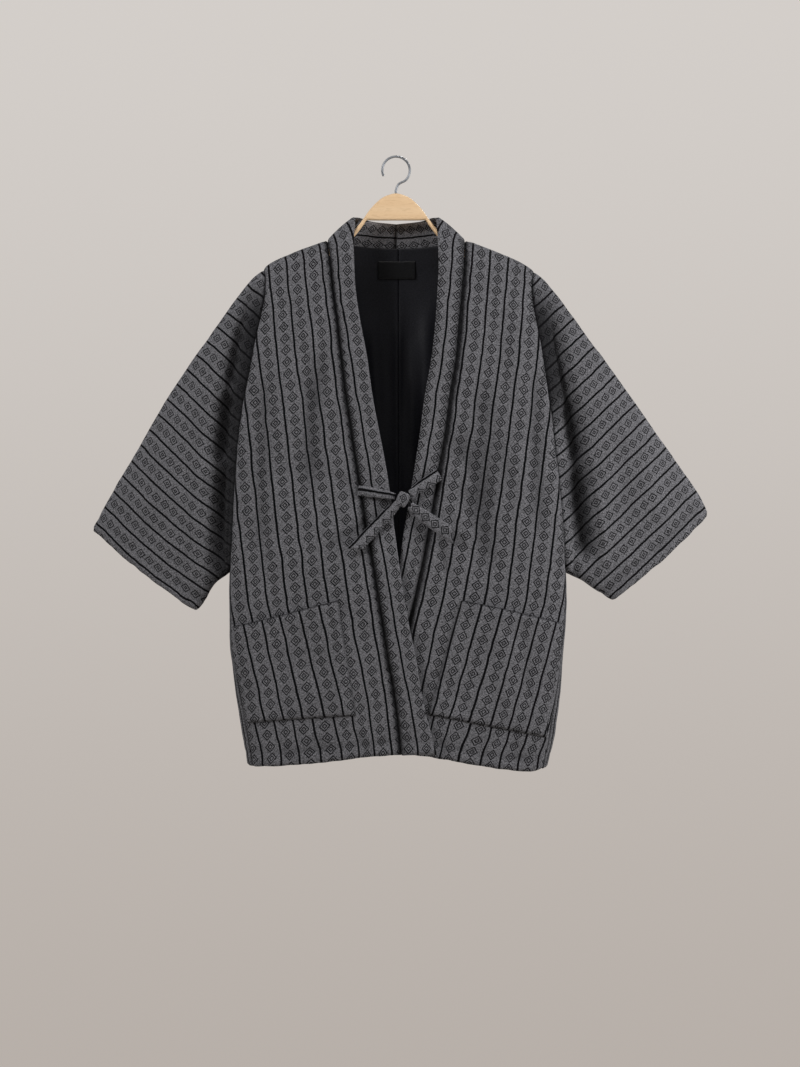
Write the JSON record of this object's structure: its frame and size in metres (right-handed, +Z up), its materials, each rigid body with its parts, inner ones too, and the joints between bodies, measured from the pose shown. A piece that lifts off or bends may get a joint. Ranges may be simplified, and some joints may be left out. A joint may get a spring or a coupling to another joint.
{
  "type": "hanten jacket on a wooden clothes hanger",
  "caption": "Padded East Asian house jacket in striped grey cloth with a band collar, wide sleeves, patch pockets and a tied front, hanging on a plain wooden hanger.",
  "frame": {"origin": "inner top of the hanger's hook, where a rail or peg carries it", "axes": "+Z up, the jacket's front faces -Y, +X is the wearer's left"},
  "size_m": [0.9294, 0.1027, 0.9267],
  "materials": {
    "cloth": "matte padded cotton, mid-grey melange with black stripes and woven diamonds",
    "lining": "near-black satin",
    "label": "black woven, bare",
    "wood": "light beech with a thin clear coat",
    "steel": "bright wire"
  },
  "bodies": {
    "root": {"front_right": "cloth", "front_left": "cloth", "back_right": "cloth", "back_left": "cloth", "collar_right": "cloth", "collar_left": "cloth", "sleeve_right": "cloth", "sleeve_left": "cloth", "gusset_right": "cloth", "gusset_left": "cloth", "pocket_right": "cloth", "pocket_left": "cloth", "tie_right_strap": "cloth", "tie_left_strap": "cloth", "tie_right_tail": "cloth", "tie_left_tail": "cloth", "tie_knot": "cloth", "lining_right": "lining", "lining_left": "lining", "label": "label", "hanger_wood": "wood", "hanger_hook": "steel"}
  },
  "joints": []
}
